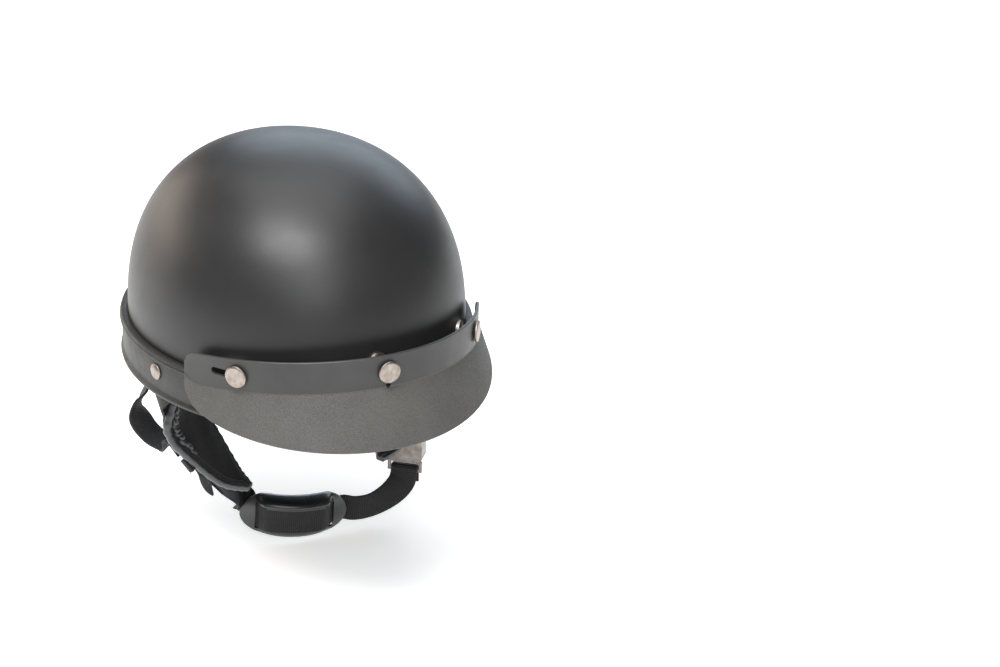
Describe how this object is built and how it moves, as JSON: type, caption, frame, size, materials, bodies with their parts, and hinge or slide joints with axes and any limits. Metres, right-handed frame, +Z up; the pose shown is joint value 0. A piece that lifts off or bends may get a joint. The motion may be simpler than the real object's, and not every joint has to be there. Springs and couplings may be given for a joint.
{
  "type": "motorcycle helmet",
  "caption": "Open-face half-shell motorcycle helmet with a visor peak held by snaps, leather-look rim band, ear pads and a webbing harness with chin cup and push-button buckle.",
  "frame": {"origin": "middle of the head opening, in the plane of the rim's lower edge", "axes": "+Z up out of the crown, -Y is the way the wearer faces, +X is the wearer's left"},
  "size_m": [0.239, 0.3051, 0.2994],
  "materials": {
    "shell_paint": "satin black paint over moulded plastic",
    "liner_foam": "dark expanded polystyrene",
    "lining_cloth": "black brushed lining",
    "band_rubber": "satin leather-look",
    "visor_plastic": "fine sand texture on the peak, smooth on the flange",
    "nickel": "brushed warm nickel",
    "hidden_metal": "plated",
    "pad_fleece": "black fleece with a vinyl binding",
    "webbing": "ribbed black nylon webbing",
    "buckle_steel": "dull plated steel",
    "button_red": "satin red",
    "cup_plastic": "semi-gloss black"
  },
  "bodies": {
    "helmet": {"outer_shell": "shell_paint", "eps_liner": "liner_foam", "crown_lining": "lining_cloth", "headband_pad": "lining_cloth", "rim_band": "band_rubber", "snap_stud_center": "hidden_metal", "snap_stud_left": "hidden_metal", "snap_stud_right": "hidden_metal", "rivet_side_left": "nickel", "rivet_side_right": "nickel", "rivet_rear_left": "nickel", "rivet_rear_right": "nickel", "washer_side_left": "hidden_metal", "washer_side_right": "hidden_metal", "washer_rear_left": "hidden_metal", "washer_rear_right": "hidden_metal", "ear_pad_right": "pad_fleece", "ear_pad_left": "pad_fleece", "front_strap_right": "webbing", "front_strap_left": "webbing", "rear_strap_right": "webbing", "rear_strap_left": "webbing", "strap_keeper_right": "webbing", "strap_keeper_left": "webbing", "buckle_housing": "buckle_steel"},
    "visor": {"visor": "visor_plastic", "snap_socket_center": "hidden_metal", "snap_cap_center": "nickel"},
    "snap_left": {"snap_socket_left": "hidden_metal", "snap_cap_left": "nickel"},
    "snap_right": {"snap_socket_right": "hidden_metal", "snap_cap_right": "nickel"},
    "chin_strap": {"chin_webbing": "webbing", "chin_cup": "cup_plastic", "buckle_tongue": "buckle_steel"},
    "release_button": {"release_button": "button_red"}
  },
  "joints": [
    {"name": "visor_pull_off", "type": "slide", "parent": "helmet", "child": "visor", "axis": [0, -1, 0], "range_m": [0, 0.009]},
    {"name": "left_snap_pull", "type": "slide", "parent": "helmet", "child": "snap_left", "axis": [0.7804, -0.6253, 0], "range_m": [0, 0.009]},
    {"name": "right_snap_pull", "type": "slide", "parent": "helmet", "child": "snap_right", "axis": [-0.7804, -0.6253, 0], "range_m": [0, 0.009]},
    {"name": "chin_strap_open", "type": "hinge", "parent": "helmet", "child": "chin_strap", "pos_m": [-0.0665, 0, -0.0955], "axis": [0, 1, 0], "range_deg": [0, 70]},
    {"name": "buckle_button_press", "type": "slide", "parent": "helmet", "child": "release_button", "axis": [-0.6561, -0.7547, 0], "range_m": [0, 0.0022], "stiffness_N_per_m": 600}
  ],
  "couplings": [
    {"joint": "left_snap_pull", "follows": "visor_pull_off", "ratio": 0.62532},
    {"joint": "right_snap_pull", "follows": "visor_pull_off", "ratio": 0.62532}
  ]
}
